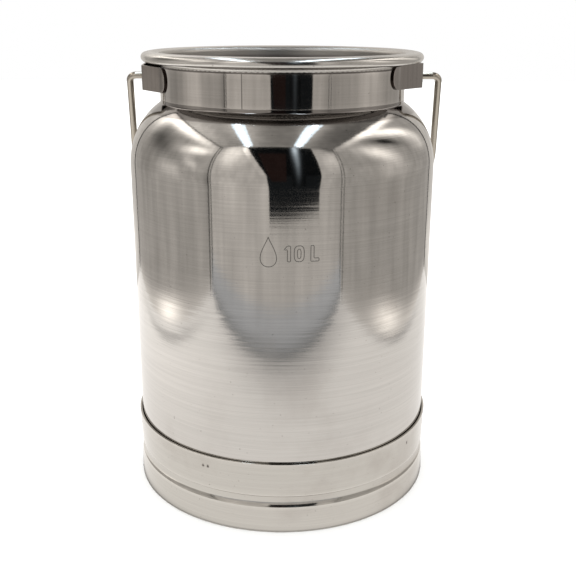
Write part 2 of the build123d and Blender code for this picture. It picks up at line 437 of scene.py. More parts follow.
def azimuths(count, spots=(), width=0.0):
    """Angles round the axis, evenly spaced, and crowding towards each cluster of spots.

    Next to a cluster there are eight steps of a third of the width. Then each step grows
    by a quarter, so that no face has a much narrower neighbour, up to the even step.
    """
    step = FULL_TURN / count
    turns = np.arange(count) * step - math.pi
    fine, fine_steps, growth, crowded = width / 3, 8, 1.25, 9 * step
    for cluster in spots:
        first, last = np.min(cluster), np.max(cluster)
        growing = np.maximum(np.arange(60) - fine_steps, 0)
        offsets = np.cumsum(np.minimum(fine * growth ** growing, step))
        offsets = offsets[offsets < crowded]
        between = np.linspace(first, last, max(2, round((last - first) / fine) + 1))
        reach = offsets[-1] + (last - first) / 2 + 0.6 * step
        away = np.abs((turns - np.mean(cluster) + math.pi) % FULL_TURN - math.pi)
        turns = np.concatenate([turns[away > reach], first - offsets, between,
                                last + offsets])
    turns = np.sort((turns + math.pi) % FULL_TURN - math.pi)
    return turns[np.diff(turns, prepend=turns[-1] - FULL_TURN) > 1e-6]


def turned(name, loop, turns, edges, dent=None, poles=False, **fields):
    """Solid of revolution: each section point (radius, height) carried round the axis.

    x = radius cos(turn), y = radius sin(turn). A dent is a depth per section point and
    turn, taken off the radius.
    """
    radius = np.repeat(loop[:, :1], len(turns), axis=1)
    if dent is not None:
        radius = radius - dent
    grid = np.stack([radius * np.cos(turns), radius * np.sin(turns),
                     np.repeat(loop[:, 1:], len(turns), axis=1)], axis=-1)
    shape = grid.shape[:2]
    run = np.broadcast_to(run_along(loop)[:, None], shape)
    edge = np.broadcast_to(near_points(loop, edges)[:, None], shape)
    inside = np.broadcast_to(facing_axis(loop)[:, None], shape)
    return grid_solid(name, grid, poles=poles, run=run, edge=edge, inside=inside, **fields)


def finished(piece, material, body, slot, *nodes):
    """Gives a piece its steel and its body, and hides the nodes it stands for. The slot is not
    used.
    """
    piece.data.materials.append(material)
    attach(piece, body)
    if nodes:
        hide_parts(*nodes)
    return piece


# ---------------------------------------------------------------- node groups


def new_group(name, inputs, outputs):
    """Empty shader group with named number, colour or vector sockets."""
    tree = bpy.data.node_groups.new(name, "ShaderNodeTree")
    for label, kind, value in inputs:
        socket = tree.interface.new_socket(label, in_out="INPUT", socket_type=kind)
        if value is not None:
            socket.default_value = value
    for label, kind in outputs:
        tree.interface.new_socket(label, in_out="OUTPUT", socket_type=kind)
    return tree, tree.nodes.new("NodeGroupInput"), tree.nodes.new("NodeGroupOutput")


def add_math(tree, operation, first, second, clamp=False):
    """A Math node; each operand is a socket or a number. Returns its output."""
    node = tree.nodes.new("ShaderNodeMath")
    node.operation = operation
    node.use_clamp = clamp
    for socket, operand in zip(node.inputs, (first, second)):
        if isinstance(operand, (int, float)):
            socket.default_value = operand
        else:
            tree.links.new(operand, socket)
    return node.outputs[0]


def add_weighted(tree, base, value, weight):
    """Base plus value times weight."""
    return add_math(tree, "ADD", base, add_math(tree, "MULTIPLY", value, weight))


def add_noise(tree, vector, scale, detail, w=None, roughness=0.5):
    """A Noise Texture, four-dimensional when it is given a fourth coordinate."""
    node = tree.nodes.new("ShaderNodeTexNoise")
    node.noise_dimensions = "4D" if w is not None else "3D"
    tree.links.new(vector, node.inputs["Vector"])
    if w is not None:
        tree.links.new(w, node.inputs["W"])
    node.inputs["Scale"].default_value = scale
    node.inputs["Detail"].default_value = detail
    node.inputs["Roughness"].default_value = roughness
    return node.outputs["Fac"]


def add_range(tree, value, low, high):
    """Smooth step of a value from 0 at low to 1 at high."""
    node = tree.nodes.new("ShaderNodeMapRange")
    node.interpolation_type = "SMOOTHSTEP"
    tree.links.new(value, node.inputs["Value"])
    node.inputs["From Min"].default_value = low
    node.inputs["From Max"].default_value = high
    return node.outputs["Result"]


def add_scaled(tree, vector, factor):
    """A vector times a number or socket."""
    node = tree.nodes.new("ShaderNodeVectorMath")
    node.operation = "SCALE"
    tree.links.new(vector, node.inputs[0])
    if isinstance(factor, (int, float)):
        node.inputs["Scale"].default_value = factor
    else:
        tree.links.new(factor, node.inputs["Scale"])
    return node.outputs["Vector"]


def brushing_group():
    """Fine parallel lines: noise that changes fast along Run and slowly over Place."""
    tree, given, result = new_group(
        "Brushing",
        [("Place", "NodeSocketVector", None), ("Run", "NodeSocketFloat", 0.0),
         ("Fine Lines", "NodeSocketFloat", 1500.0), ("Coarse Lines", "NodeSocketFloat", 450.0),
         ("Reach", "NodeSocketFloat", 9.0)],
        [("Height", "NodeSocketFloat"), ("Streak", "NodeSocketFloat")])
    slow = add_scaled(tree, given.outputs["Place"], given.outputs["Reach"])
    fine_run = add_math(tree, "MULTIPLY", given.outputs["Run"], given.outputs["Fine Lines"])
    coarse_run = add_math(tree, "MULTIPLY", given.outputs["Run"], given.outputs["Coarse Lines"])
    fine = add_noise(tree, slow, 2.0, 1.0, fine_run)
    coarse = add_noise(tree, slow, 1.0, 1.0, coarse_run)
    broad = add_noise(tree, slow, 0.8, 1.0, add_math(tree, "MULTIPLY", coarse_run, 0.37))
    height = add_weighted(tree, add_weighted(tree, coarse, fine, 0.35), broad, 1.1)
    tree.links.new(height, result.inputs["Height"])
    streak = add_weighted(tree, add_math(tree, "MULTIPLY", coarse, 0.4), fine, 0.6)
    tree.links.new(add_range(tree, streak, 0.3, 0.7), result.inputs["Streak"])
    return tree


def handling_group():
    """Cloudy smudges, small specks and slow waves of the sheet."""
    tree, given, result = new_group(
        "Handling",
        [("Place", "NodeSocketVector", None), ("Smudge Scale", "NodeSocketFloat", 14.0),
         ("Wave Scale", "NodeSocketFloat", 18.0)],
        [("Smudge", "NodeSocketFloat"), ("Speck", "NodeSocketFloat"),
         ("Wave", "NodeSocketFloat")])
    place = given.outputs["Place"]
    broad = add_noise(tree, add_scaled(tree, place, given.outputs["Smudge Scale"]), 1.0, 4.0,
                      roughness=0.6)
    tree.links.new(add_range(tree, broad, 0.48, 0.72), result.inputs["Smudge"])
    dots = add_noise(tree, place, 700.0, 0.0)
    tree.links.new(add_range(tree, dots, 0.83, 0.86), result.inputs["Speck"])
    wave = add_noise(tree, add_scaled(tree, place, given.outputs["Wave Scale"]), 1.0, 1.0)
    tree.links.new(wave, result.inputs["Wave"])
    return tree


def edge_group():
    """Rubbed edges: the edge mask broken up by a small noise."""
    tree, given, result = new_group(
        "Edge Wear",
        [("Place", "NodeSocketVector", None), ("Edge", "NodeSocketFloat", 0.0)],
        [("Wear", "NodeSocketFloat")])
    broken = add_noise(tree, given.outputs["Place"], 220.0, 3.0)
    wear = add_math(tree, "MULTIPLY", given.outputs["Edge"],
                    add_math(tree, "ADD", broken, 0.35), clamp=True)
    tree.links.new(wear, result.inputs["Wear"])
    return tree


def group_for(maker, name):
    """The node group of that name, made once."""
    return bpy.data.node_groups.get(name) or maker()


def place_group(tree, maker, name, links=(), **values):
    """A group node with its own values and links, by input name."""
    node = tree.nodes.new("ShaderNodeGroup")
    node.node_tree = group_for(maker, name)
    for label, value in values.items():
        node.inputs[label.replace("_", " ")].default_value = value
    for label, socket in links:
        tree.links.new(socket, node.inputs[label])
    return node


def add_mix(tree, amount, first, second):
    """Mix of two colours; each is a socket or a colour, and the amount is a socket."""
    node = tree.nodes.new("ShaderNodeMix")
    node.data_type = "RGBA"
    for label, operand in (("Factor_Float", amount), ("A_Color", first), ("B_Color", second)):
        socket = next(s for s in node.inputs if s.identifier == label)
        if isinstance(operand, bpy.types.NodeSocket):
            tree.links.new(operand, socket)
        else:
            socket.default_value = operand
    return next(s for s in node.outputs if s.identifier == "Result_Color")


def add_attribute(tree, name):
    """A number kept on the mesh."""
    node = tree.nodes.new("ShaderNodeAttribute")
    node.attribute_name = name
    return node.outputs["Fac"]


def add_bump(tree, height, depth, normal=None):
    """Normal tilted by a height that is this deep, over another normal if one is given."""
    node = tree.nodes.new("ShaderNodeBump")
    node.inputs["Distance"].default_value = depth
    tree.links.new(height, node.inputs["Height"])
    if normal is not None:
        tree.links.new(normal, node.inputs["Normal"])
    return node.outputs["Normal"]


def opaque(colour):
    """A colour with full alpha."""
    return (*colour, 1.0)


# ---------------------------------------------------------------- steels


def steel(name, colour, roughness, anisotropic=0.0, across=True, line_depth=4e-6,
          wave_depth=3e-5, streak_tone=0.08, streak_gloss=0.02, smudge_tone=0.25,
          smudge_gloss=0.06, fine_lines=1500.0, coarse_lines=450.0, reach=9.0,
          wave_scale=18.0, tint=False):
    """Stainless steel: parallel brushing, smudges, specks, rubbed edges and slow waves.

    Across sets whether the gloss spreads across the map's first direction or along it.
    Faces towards the axis are duller, and tint mixes in the dark colour of weld burns and
    painted shade by the number of that name kept on the mesh.
    """
    looks = bpy.context.scene.milk_can.steel
    material = bpy.data.materials.new(name)
    material.use_nodes = True
    tree = material.node_tree
    shader = tree.nodes["Principled BSDF"]
    shader.inputs["Metallic"].default_value = 1.0
    shader.inputs["Anisotropic"].default_value = anisotropic
    shader.inputs["Anisotropic Rotation"].default_value = 0.25 if across else 0.0
    tangent = tree.nodes.new("ShaderNodeTangent")
    tangent.direction_type = "UV_MAP"
    tangent.uv_map = "surface"
    tree.links.new(tangent.outputs[0], shader.inputs["Tangent"])

    place = tree.nodes.new("ShaderNodeTexCoord").outputs["Object"]
    run = add_attribute(tree, "run")
    edge = add_attribute(tree, "edge")
    brushing = place_group(tree, brushing_group, "Brushing", [("Place", place), ("Run", run)],
                           Fine_Lines=fine_lines, Coarse_Lines=coarse_lines, Reach=reach)
    handling = place_group(tree, handling_group, "Handling", [("Place", place)],
                           Wave_Scale=wave_scale)
    wear = place_group(tree, edge_group, "Edge Wear", [("Place", place), ("Edge", edge)])
    streak = brushing.outputs["Streak"]
    smudge = handling.outputs["Smudge"]
    speck = handling.outputs["Speck"]

    inside = add_attribute(tree, "inside")
    rubbed = wear.outputs["Wear"]

    # Each layer over the plain colour: its mask, the mask's strength and its own colour.
    darker = tuple(c * 0.78 for c in colour)
    lighter = tuple(min(1.0, c * 1.18) for c in colour)
    shade = opaque(colour)
    for mask, strength, layer in (
        (streak, streak_tone * 4, darker), (smudge, smudge_tone, looks.smudge),
        (speck, 0.35, looks.heat_and_shade), (rubbed, 1.0, lighter), (inside, 0.45, looks.smudge),
    ):
        amount = add_math(tree, "MULTIPLY", mask, strength, clamp=True)
        shade = add_mix(tree, amount, shade, opaque(layer))
    if tint:
        # Mixes in weld burns and, on some pieces, painted shade and painted reflection of shade.
        shade = add_mix(tree, add_attribute(tree, "tint"), shade, opaque(looks.heat_and_shade))
    tree.links.new(shade, shader.inputs["Base Color"])

    gloss = roughness
    for mask, weight in ((streak, streak_gloss), (smudge, smudge_gloss), (rubbed, 0.06),
                         (inside, 0.22)):
        gloss = add_weighted(tree, gloss, mask, weight)
    tree.links.new(gloss, shader.inputs["Roughness"])

    waves = add_bump(tree, handling.outputs["Wave"], wave_depth)
    lines = add_bump(tree, brushing.outputs["Height"], line_depth, waves)
    tree.links.new(lines, shader.inputs["Normal"])
    return material


# ---------------------------------------------------------------- body


def shell_outline(sizes, neck_radius):
    """Outside of the wall, the shoulder arc, the crease fillet and the upturned edge.

    Shoulder and fillet circles touch, so the line through their centres gives the joint.
    """
    centre_r = sizes.wall_radius - sizes.shoulder_radius
    crease_r = neck_radius + sizes.crease_radius
    reach = sizes.shoulder_radius + sizes.crease_radius
    crease_z = sizes.shoulder_start + math.sqrt(reach ** 2 - (crease_r - centre_r) ** 2)
    rise = math.degrees(math.atan2(crease_z - sizes.shoulder_start, crease_r - centre_r))
    return chain(
        stretch((sizes.wall_radius, sizes.wall_bottom),
                (sizes.wall_radius, sizes.shoulder_start), step=0.005),
        bend((centre_r, sizes.shoulder_start), sizes.shoulder_radius, 0, rise, step=1.5),
        bend((crease_r, crease_z), sizes.crease_radius, rise - 180, -180, step=8.0),
        stretch((neck_radius, crease_z), (neck_radius, sizes.shell_top)),
    )


class MILKCAN_OT_build_body(Operator):
    """Build the wall with its shoulder, and the bottom pan"""

    bl_idname = "milkcan.build_body"
    bl_label = "Build Body"

    def execute(self, context):
        settings = context.scene.milk_can
        sizes, looks = settings.shell, settings.steel
        turns = azimuths(sizes.segments)
        outline = shell_outline(sizes, settings.neck.radius)
        loop = sheet_loop(outline, sizes.sheet, TINY_CORNER)
        # Round the neck, under the overhanging rim, the shoulder is darker out to a soft edge:
        # partly the weld's brown tint, partly painted shade and painted reflection of the shaded
        # rim underside.
        fade = 0.001
        on_shoulder = loop[:, 1] > sizes.shoulder_start
        tinted_and_shaded = on_shoulder * np.clip((sizes.tinted_and_shaded - loop[:, 0]) / fade, 0, 1)
        tint = np.broadcast_to(looks.shoulder_tint_and_shade * tinted_and_shaded[:, None], (len(loop), len(turns)))
        shell = turned("body_shell_skin", loop, turns, [outline[-1]], tint=tint)
        wall_steel = steel("Wall Steel", looks.wall, 0.052, anisotropic=0.82, line_depth=2.2e-5,
                           streak_tone=0.13, smudge_tone=0.3, smudge_gloss=0.04, tint=True)
        finished(shell, wall_steel, "can", "body_steel", "body_shell")

        corner_r = sizes.wall_radius - sizes.pan_corner
        corner_z = sizes.pan_bottom + sizes.pan_corner
        pan_rows = 40
        across = np.linspace(0, 1, pan_rows)
        dome = np.column_stack([corner_r * across,
                                sizes.pan_bottom + sizes.pan_dome * (1 - across ** 2)])
        under = chain(dome, bend((corner_r, corner_z), sizes.pan_corner, -90, 0),
                      stretch((sizes.wall_radius, corner_z),
                              (sizes.wall_radius, sizes.wall_bottom)))
        inner = under + left_of(under) * sizes.sheet
        inner[0] = (0, inner[0, 1])
        pan_loop = chain(under, inner[::-1])
        pan = turned("bottom_pan_skin", pan_loop, turns, [under[-1]], poles=True)
        pan_steel = steel("Pan Steel", looks.pan, 0.2, anisotropic=0.5, line_depth=3e-5,
                          smudge_tone=0.4)
        finished(pan, pan_steel, "can", "pan_steel", "bottom_pan")
        return {"FINISHED"}


# ---------------------------------------------------------------- neck and rim


class MILKCAN_OT_build_collar(Operator):
    """Build the rolled collar with its upright seam"""

    bl_idname = "milkcan.build_collar"
    bl_label = "Build Collar"

    def execute(self, context):
        settings = context.scene.milk_can
        neck, shell = settings.neck, settings.shell
        seam = -QUARTER_TURN - neck.seam_angle
        width = neck.seam_width / neck.radius
        turns = azimuths(shell.segments, [[seam]], width)
        outline = stretch((neck.radius, shell.shell_top), (neck.radius, neck.collar_top))
        loop = sheet_loop(outline, shell.sheet, TINY_CORNER)
        groove = np.exp(-((turns - seam) / width) ** 2)
        outside = (loop[:, 0] > neck.radius - shell.sheet / 2).astype(float)
        dent = neck.seam_depth * outside[:, None] * groove[None]
        tint = settings.steel.seam_heat * np.broadcast_to(groove[None], dent.shape)
        collar = turned("neck_collar_skin", loop, turns, outline[[0, -1]], dent=dent, tint=tint)
        collar_steel = steel("Collar Steel", settings.steel.collar, 0.06, anisotropic=0.88,
                             line_depth=1.8e-5, smudge_gloss=0.03, tint=True)
        finished(collar, collar_steel, "can", "neck_steel", "neck_collar")
        return {"FINISHED"}


def rim_outline(neck, sheet):
    """Outside of the rim, from the hidden curled edge round to the leg in the mouth.

    Two rolled edges of one radius are joined by a crown arc that touches both of them.
    """
    inner_r = neck.radius - sheet
    height = neck.rim_top - neck.rim_underside
    roll = neck.roll_radius
    half = (neck.rim_radius - inner_r - 2 * roll) / 2
    crown = (half ** 2 + (height - roll) ** 2 - roll ** 2) / (2 * (height - 2 * roll))
    roll_z = neck.rim_underside + roll
    inner_c, outer_c = inner_r + roll, neck.rim_radius - roll
    lean = math.degrees(math.asin(half / (crown - roll)))
    return chain(
        stretch((neck.curl_end, neck.rim_underside), (outer_c, neck.rim_underside)),
        bend((outer_c, roll_z), roll, -90, 90 - lean, step=5.0),
        bend(((inner_c + outer_c) / 2, neck.rim_top - crown), crown, 90 - lean, 90 + lean,
             step=2.0),
        bend((inner_c, roll_z), roll, 90 + lean, 180, step=5.0),
        stretch((inner_r, roll_z), (inner_r, neck.collar_top)),
    )


class MILKCAN_OT_build_rim(Operator):
    """Build the rolled rim and the weld under it"""

    bl_idname = "milkcan.build_rim"
    bl_label = "Build Rim"

    def execute(self, context):
        settings = context.scene.milk_can
        neck, shell = settings.neck, settings.shell
        turns = azimuths(shell.segments)
        outline = rim_outline(neck, shell.sheet)
        loop = sheet_loop(outline, shell.sheet, TINY_CORNER)
        # Darker on the underside: partly the weld's brown tint, partly painted shade under the
        # rim's overhang.
        tinted_and_shaded_height, fade = 0.0010, 0.0008
        above = loop[:, 1] - neck.rim_underside
        under = settings.steel.rim_tint_and_shade * np.clip((tinted_and_shaded_height - above) / fade, 0, 1)
        tint = np.broadcast_to(under[:, None], (len(loop), len(turns)))
        rim = turned("mouth_rim_skin", loop, turns, [outline[0]], tint=tint)
        rim_steel = steel("Rim Steel", settings.steel.rim, 0.19, anisotropic=0.4,
                          line_depth=8e-6, wave_depth=2e-5, tint=True)
        finished(rim, rim_steel, "can", "rim_steel", "mouth_rim")

        weld = neck.weld_radius
        foot_z = neck.rim_underside - weld
        tip_r = neck.radius + weld
        root_r = neck.radius - shell.sheet / 2
        buried_z = neck.rim_underside + shell.sheet
        buried_r = tip_r - shell.sheet
        section = chain(
            stretch((root_r, foot_z), (neck.radius, foot_z)),
            bend((tip_r, foot_z), weld, 180, 90, step=9.0),
            stretch((tip_r, neck.rim_underside), (buried_r, buried_z)),
            stretch((buried_r, buried_z), (root_r, buried_z)),
            stretch((root_r, buried_z), (root_r, foot_z)),
        )[:-1]
        ripple = 0.5 + 0.5 * np.sin(turns * neck.weld_ripples)
        exposed = near_points(section, [(neck.radius + weld / 3, foot_z + weld / 2)], 0.002)
        dent = neck.ripple_depth * exposed[:, None] * ripple[None]
        bead = turned("rim_weld", section, turns, [(tip_r, neck.rim_underside)], dent=dent)
        bead_steel = steel("Weld Steel", settings.steel.rim, 0.22, line_depth=3e-6,
                           smudge_tone=0.4)
        finished(bead, bead_steel, "can", "rim_steel")
        return {"FINISHED"}


# ---------------------------------------------------------------- foot


def groove(foot):
    """Points up the groove, whose radius grows from its floor by a power of the distance.

    The radius grows with the square above the deepest line, and with a higher power
    below it, so the groove ends in a steep lower lip.
    """
    below = foot.groove_middle - foot.groove_bottom
    above = foot.groove_top - foot.groove_middle
    low_rows, high_rows = 24, 8
    away = np.concatenate([np.linspace(1, 0, low_rows), np.linspace(0, 1, high_rows + 1)[1:]])
    low = np.arange(len(away)) < low_rows
    height = foot.groove_middle + np.where(low, -below, above) * away
    edge = np.where(low, foot.lower_radius, foot.waist_radius)
    radius = foot.groove_floor + (edge - foot.groove_floor) * away ** np.where(low, 3.2, 2.0)
    return np.column_stack([radius, height])


def foot_loop(foot, sheet):
    """Closed section of the foot ring, up its outside and back down its inside.

    The bottom is folded, and the top edge is rolled in to the lip's thickness.
    """
    upper = np.array([foot.waist_radius, foot.groove_top])
    lower = np.array([foot.lower_radius, foot.groove_bottom])
    corner = foot.hem_corner
    inner_r = foot.bottom_radius - 2 * sheet
    skirt = (foot.bottom_radius - foot.lower_radius) / (foot.groove_bottom - corner)
    hem_top_r = foot.lower_radius - sheet + skirt * (foot.groove_bottom - foot.hem_height)
    soft = 0.0002
    inward = np.array([sheet, 0.0])
    top = foot.height
    lip_r, sheet_r = foot.top_radius - foot.lip, foot.top_radius - sheet
    lip_end, sheet_start = top - 0.0012, top - 0.003
    return chain(
        bend((inner_r + soft, soft), soft, 180, 270, step=30),
        stretch((inner_r + soft, 0), (foot.bottom_radius - corner, 0), step=0.001),
        bend((foot.bottom_radius - corner, corner), corner, -90, 0, step=10),
        stretch((foot.bottom_radius, corner), lower),
        groove(foot),
        stretch(upper, (foot.top_radius, top - soft), step=0.0011),
        bend((foot.top_radius - soft, top - soft), soft, 0, 90, step=30),
        bend((lip_r + soft, top - soft), soft, 90, 180, step=30),
        stretch((lip_r, top - soft), (lip_r, lip_end)),
        stretch((lip_r, lip_end), (sheet_r, sheet_start)),
        stretch((sheet_r, sheet_start), upper - inward),
        (groove(foot) - inward)[::-1],
        stretch(lower - inward, (hem_top_r, foot.hem_height)),
        stretch((hem_top_r, foot.hem_height), (inner_r, foot.hem_height - soft), step=0.001),
        stretch((inner_r, foot.hem_height - soft), (inner_r, soft)),
    )[:-1]


class MILKCAN_OT_build_foot(Operator):
    """Build the flared foot band with its groove, folded edge and weld pits"""

    bl_idname = "milkcan.build_foot"
    bl_label = "Build Foot"

    def execute(self, context):
        settings = context.scene.milk_can
        foot, shell = settings.foot, settings.shell
        # Two pits side by side at the left of the front, and two single ones at its right.
        pits = np.radians([-29.6, -27.6, 55.0, 75.0]) - QUARTER_TURN
        heights = foot.pit_height + np.array([0.0, 0.0002, 0.0003, -0.0004])
        width = foot.pit_radius / foot.top_radius
        turns = azimuths(shell.segments, [pits[:2], pits[2:3], pits[3:]], width)
        loop = foot_loop(foot, shell.sheet)
        middle = (foot.top_radius + foot.waist_radius) / 2 - shell.sheet / 2
        outside = (loop[:, 0] > middle) & (loop[:, 1] > foot.groove_top)
        round_gap = (turns[None] - pits[:, None]) / width
        rise_gap = (loop[None, :, 1] - heights[:, None]) / foot.pit_radius
        pit = np.exp(-rise_gap[:, :, None] ** 2 - round_gap[:, None] ** 2).max(axis=0)
        pit = pit * outside[:, None]
        edges = [(foot.top_radius, foot.height), (foot.bottom_radius, foot.hem_corner / 2),
                 (foot.lower_radius, foot.groove_bottom), (foot.waist_radius, foot.groove_top)]
        ring = turned("foot_ring_skin", loop, turns, edges, dent=foot.pit_depth * pit,
                      tint=np.clip(pit * 2.5, 0, 1))
        foot_steel = steel("Foot Steel", settings.steel.foot, 0.09, anisotropic=0.7,
                           line_depth=1.2e-5, smudge_tone=0.6, tint=True)
        finished(ring, foot_steel, "can", "foot_steel", "foot_ring")
        return {"FINISHED"}


# ---------------------------------------------------------------- ears


def ear_half(ears, neck_radius, bend_angle, end_angle):
    """Outside of one half of an ear in plan, from the middle of its face to its end.

    Flat face, convex bend, slanted web, hollow bend that touches the neck circle, and
    the flange on that circle. Returns points and the direction each one faces.
    """
    outer = neck_radius + ears.strap
    radius = ears.bend_radius
    corner = np.array([ears.face_distance, ears.face_half_width])
    landing = outer * np.array([math.cos(bend_angle), math.sin(bend_angle)])
    web = (landing - corner) / np.linalg.norm(landing - corner)
    facing = np.array([-web[1], web[0]]) * np.sign(-web[1])
    tilt = math.degrees(math.atan2(facing[1], facing[0]))
    setback = radius * math.tan(math.radians(tilt) / 2)
    convex = corner + (-radius, -setback)
    # Hollow bend: centre on the web's offset line, at outer + radius from the axis.
    start = corner + radius * facing
    along = start @ web
    spread = math.sqrt(along ** 2 - start @ start + (outer + radius) ** 2)
    distance = -along - spread if -along - spread >= 0 else -along + spread
    hollow = start + distance * web
    touch = math.degrees(math.atan2(hollow[1], hollow[0]))
    end = math.degrees(end_angle)
    bends = [
        bend(convex, radius, 0, tilt, step=5.0),
        bend(hollow, radius, tilt + 180, touch + 180, step=5.0),
        bend((0, 0), outer, touch, end, step=0.5),
    ]
    turns = [np.linspace(0, tilt, len(bends[0])), np.linspace(tilt, touch, len(bends[1])),
             np.linspace(touch, end, len(bends[2]))]
    points = np.vstack([[(ears.face_distance, 0.0)], *bends])
    return points, np.radians(np.concatenate([[0.0], *turns]))


def rounded_rectangle(half_width, half_height, corner, count):
    """Evenly spaced points round a rectangle with quarter-circle corners."""
    x, y = half_width - corner, half_height - corner
    outline = np.vstack([
        bend((x, y), corner, 0, 90), bend((-x, y), corner, 90, 180),
        bend((-x, -y), corner, 180, 270), bend((x, -y), corner, 270, 360),
        [(half_width, y)],
    ])
    walked = run_along(outline)
    steps = np.linspace(0, walked[-1], count, endpoint=False)
    return np.column_stack([np.interp(steps, walked, outline[:, k]) for k in (0, 1)])


def strap_section(strap, edge, count):
    """Loop round a strip's thickness from its hole to its outline and back.

    Returns the share of the way out, an extra distance outwards and the depth below the
    outer face. Both edges are rounded by quarter circles.
    """
    face = np.linspace(0, 1, count)
    turn = np.radians(np.linspace(0, 90, EDGE_STEPS))[1:]
    rise, fall = np.sin(turn), 1 - np.cos(turn)
    rows = len(turn)
    shares = np.concatenate([face, np.ones(2 * rows), face[::-1][1:], np.zeros(2 * rows - 1)])
    outwards = edge * np.concatenate([
        1 - 2 * face, rise - 1, rise[::-1] - 1,
        2 * face[1:] - 1, 1 - rise, 1 - rise[::-1][:-1],
    ])
    depths = np.concatenate([
        np.zeros(count), edge * fall, strap - edge * fall[::-1],
        np.full(count - 1, strap), strap - edge * fall, edge * fall[::-1][:-1],
    ])
    return shares, outwards, depths


def build_ear(name, side, front, back, centre_z, tilt):
    """Strip wrapped on its bent plan: the ring between its punched hole and its outline.

    A point goes a share of the way from the hole to the outline on the flat blank, is
    turned by the tilt, takes its distance from the plan curve, and sinks by its depth.
    """
    settings = bpy.context.scene.milk_can
    ears, neck, bail = settings.ears, settings.neck, settings.bail
    outer = neck.radius + ears.strap
    front_points, front_turns = ear_half(ears, neck.radius, *front)
    back_points, back_turns = ear_half(ears, neck.radius, *back)
    plan = np.vstack([(front_points * (1, -1))[::-1], back_points[1:]])
    facing = np.concatenate([-front_turns[::-1], back_turns[1:]])
    walked = run_along(plan)

    ends = outer * np.array([-math.sin(front[1]), math.sin(back[1])])
    middle = ends.mean()
    rows_across, points_round = 110, 240
    outline = rounded_rectangle(np.ptp(ends) / 2, ears.height / 2, ears.corner, points_round)
    tilted = (outline + (middle, 0)) @ np.array([[math.cos(tilt), math.sin(tilt)],
                                                 [-math.sin(tilt), math.cos(tilt)]])
    rim = tilted + (0, centre_z)
    spread = np.arctan2(outline[:, 1] / ears.height, outline[:, 0] / np.ptp(ends))
    hole_radius = bail.wire_radius + bail.hole_gap
    hole = np.column_stack([np.cos(spread), np.sin(spread)]) * hole_radius
    hole[:, 1] += bail.pivot_height
    way = rim - hole
    far = np.linalg.norm(way, axis=1)
    way /= far[:, None]

    shares, outwards, depths = strap_section(ears.strap, ears.edge, rows_across)
    distance = shares[:, None] * far[None] + outwards[:, None]
    blank = hole[None] + distance[..., None] * way[None]
    across = np.interp(blank[..., 0], plan[:, 1], plan[:, 0])
    turn = np.interp(blank[..., 0], plan[:, 1], facing)
    length_along = np.interp(blank[..., 0], plan[:, 1], walked)
    x = across - depths[:, None] * np.cos(turn)
    y = blank[..., 0] - depths[:, None] * np.sin(turn)
    weld_foot = neck.rim_underside - neck.weld_radius - ears.weld_gap
    ceiling = weld_foot + np.maximum(np.hypot(x, y) - neck.radius, 0)
    z = np.minimum(blank[..., 1], ceiling)
    grid = np.stack([side * x, y, z], axis=-1)
    uv = np.stack([length_along, blank[..., 1]], axis=-1) * 10
    rubbed_width = 0.0007
    edge = np.exp(-np.minimum(distance, far[None] - distance) / rubbed_width)
    # Painted shadow: the flanges' cut edges are darkened where they meet the neck, standing in
    # for the shadow in the gap there.
    cut = (shares == 1) & (depths > ears.edge / 2)
    flange = np.clip((outer + 0.002 - np.hypot(x, y)) / 0.001, 0, 1)
    return grid_solid(name, grid, uv=uv, run=length_along, edge=edge * (1 - cut[:, None]),
                      tint=settings.steel.cut_edge_shade * cut[:, None] * flange)


class MILKCAN_OT_build_ears(Operator):
    """Build both bent strap ears with their punched holes"""

    bl_idname = "milkcan.build_ears"
    bl_label = "Build Ears"

    def execute(self, context):
        settings = context.scene.milk_can
        ears = settings.ears
        short = (ears.short_bend, ears.short_end)
        long = (ears.long_bend, ears.long_end)
        ear_steel = steel("Ear Steel", settings.steel.ear, 0.16, anisotropic=0.6, across=False,
                          fine_lines=1600.0, coarse_lines=420.0, line_depth=4e-5,
                          wave_depth=4e-5, streak_tone=0.25, smudge_tone=0.35, tint=True)
        for name, side, front, back, centre_z, tilt in (
            ("left_ear", -1, short, long, ears.left_height, ears.left_tilt),
            ("right_ear", 1, long, short, ears.right_height, ears.right_tilt),
        ):
            ear = build_ear(name + "_strap", side, front, back, centre_z, tilt)
            finished(ear, ear_steel, "can", "ear_steel", name)
        return {"FINISHED"}


# ---------------------------------------------------------------- bail


def bail_path(bail):
    """Centreline in the bail's own plane: tip, bend, splayed leg, arch and back again."""
    arch = (bail.leg_distance + bail.arch_drop * math.tan(bail.splay)) * math.cos(bail.splay)
    leg_end = np.array([arch * math.cos(bail.splay),
                        -bail.arch_drop + arch * math.sin(bail.splay)])
    corner = np.array([bail.leg_distance, 0.0])
    setback = bail.bend_radius * math.tan((QUARTER_TURN - bail.splay) / 2)
    splay = math.degrees(bail.splay)
    leg_start = corner + setback * (leg_end - corner) / np.linalg.norm(leg_end - corner)
    right = chain(
        stretch((bail.tip, 0), (corner[0] - setback, 0), step=0.002),
        bend((corner[0] - setback, -bail.bend_radius), bail.bend_radius, 90, splay, step=4.0),
        stretch(leg_start, leg_end, step=0.004),
    )
    arch_points = bend((0, -bail.arch_drop), arch, splay, -180 - splay, step=1.5)
    return chain(right, arch_points, right[::-1] * (-1, 1))


